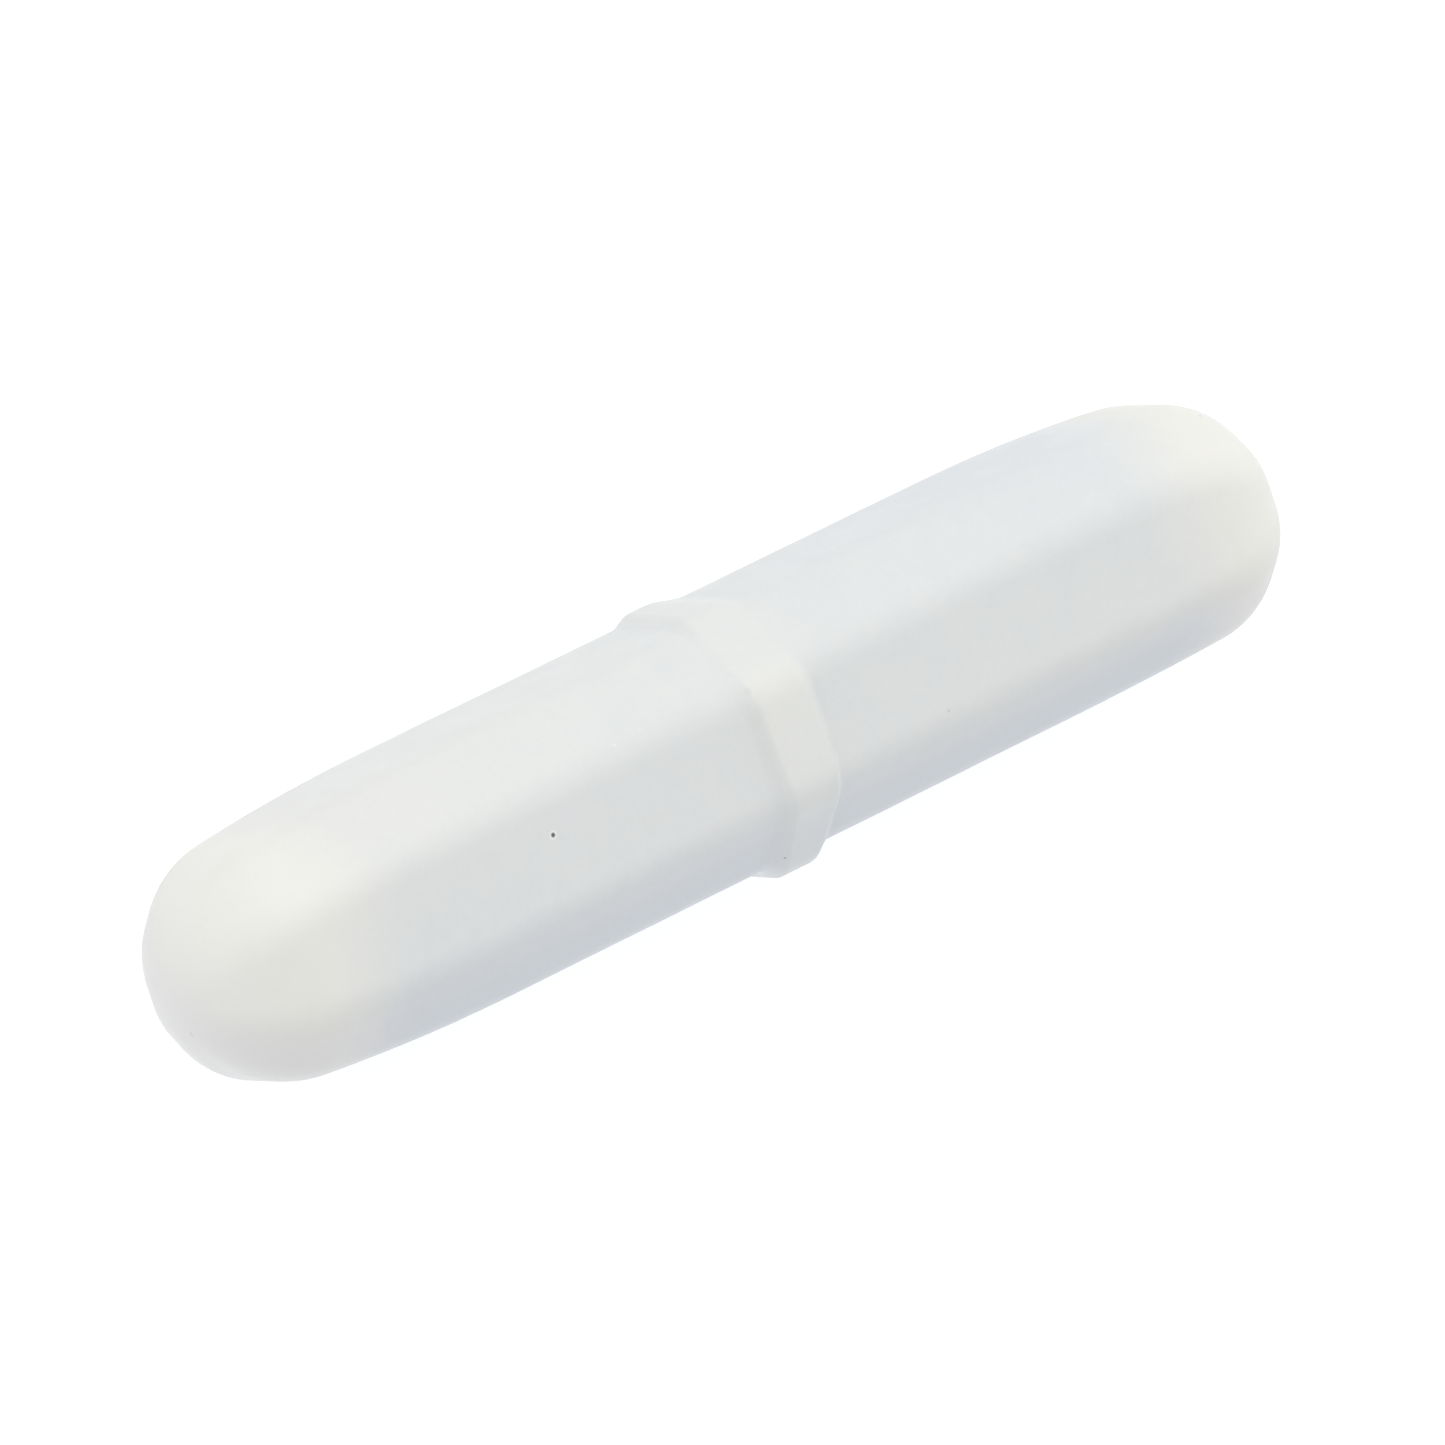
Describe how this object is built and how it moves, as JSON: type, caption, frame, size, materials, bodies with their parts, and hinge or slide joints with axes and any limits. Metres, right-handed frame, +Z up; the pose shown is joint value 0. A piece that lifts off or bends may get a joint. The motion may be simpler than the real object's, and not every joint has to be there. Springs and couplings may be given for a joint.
{
  "type": "magnetic stir bar",
  "caption": "Octagonal PTFE coated magnetic stirring bar with domed ends and a moulded pivot ring, sealing a rod magnet that a stirrer plate turns.",
  "frame": {"origin": "centre of the pivot ring's lowest flat, the face that the bar rests on", "axes": "+X along the bar, +Z up through the middle of the ring, +Y across the bar"},
  "size_m": [0.04, 0.0086, 0.0086],
  "materials": {
    "ptfe_jacket": "waxy, slightly translucent white PTFE",
    "ptfe_plug": "waxy, slightly translucent ivory white PTFE",
    "alnico": "cast and ground alnico, dull grey"
  },
  "bodies": {
    "root": {"magnet_core": "alnico", "jacket_sleeve": "ptfe_jacket", "end_plug_left": "ptfe_plug", "end_plug_right": "ptfe_plug"}
  },
  "joints": []
}
